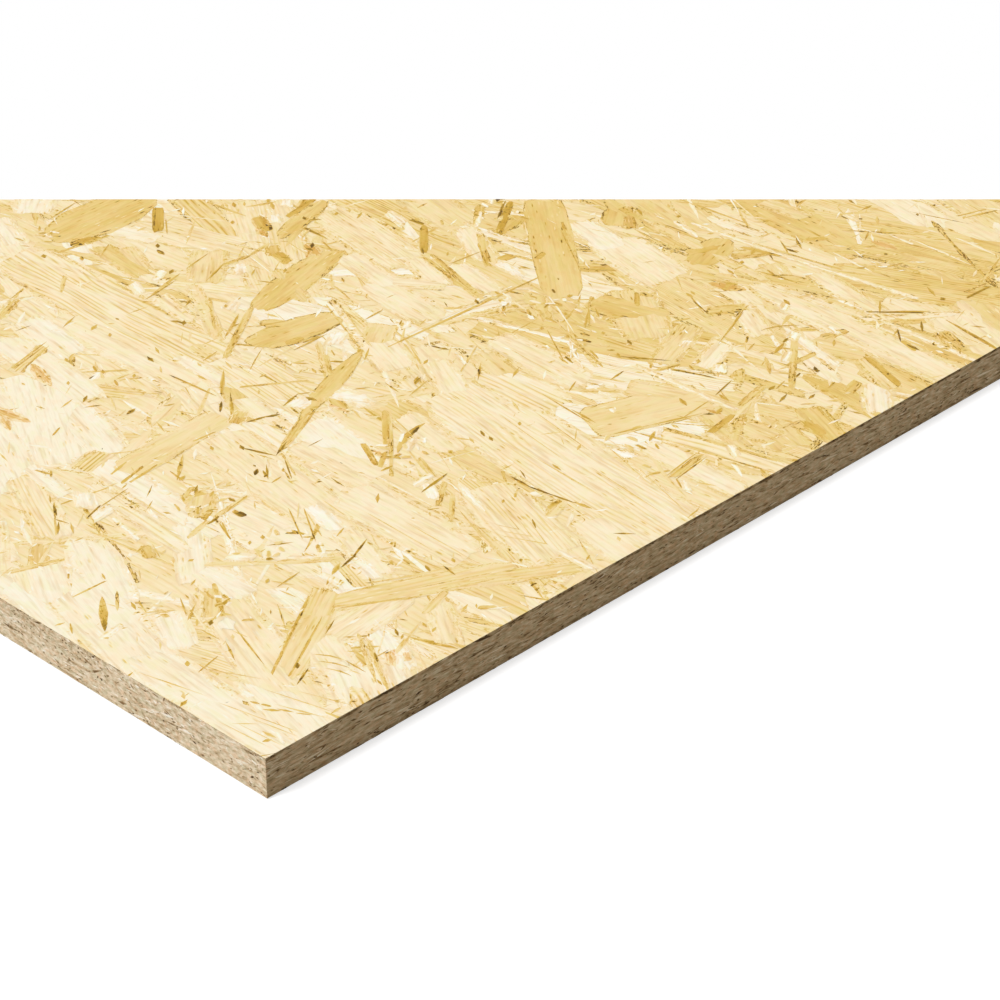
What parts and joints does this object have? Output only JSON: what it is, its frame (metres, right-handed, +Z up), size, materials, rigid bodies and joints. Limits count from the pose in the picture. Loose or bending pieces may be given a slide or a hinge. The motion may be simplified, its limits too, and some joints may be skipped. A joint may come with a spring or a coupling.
{
  "type": "osb panel",
  "caption": "Full sheet of oriented strand board with four square sawn edges, lying flat.",
  "frame": {"origin": "middle of the sheet's underside", "axes": "+X along the sheet's length and its face strands, +Y across its width, +Z up through its thickness"},
  "size_m": [2.44, 1.22, 0.018],
  "materials": {
    "strand_board": "pressed pale softwood strands with a thin film of resin, and grey-beige sawn edges"
  },
  "bodies": {
    "root": {"osb_board": "strand_board"}
  },
  "joints": []
}
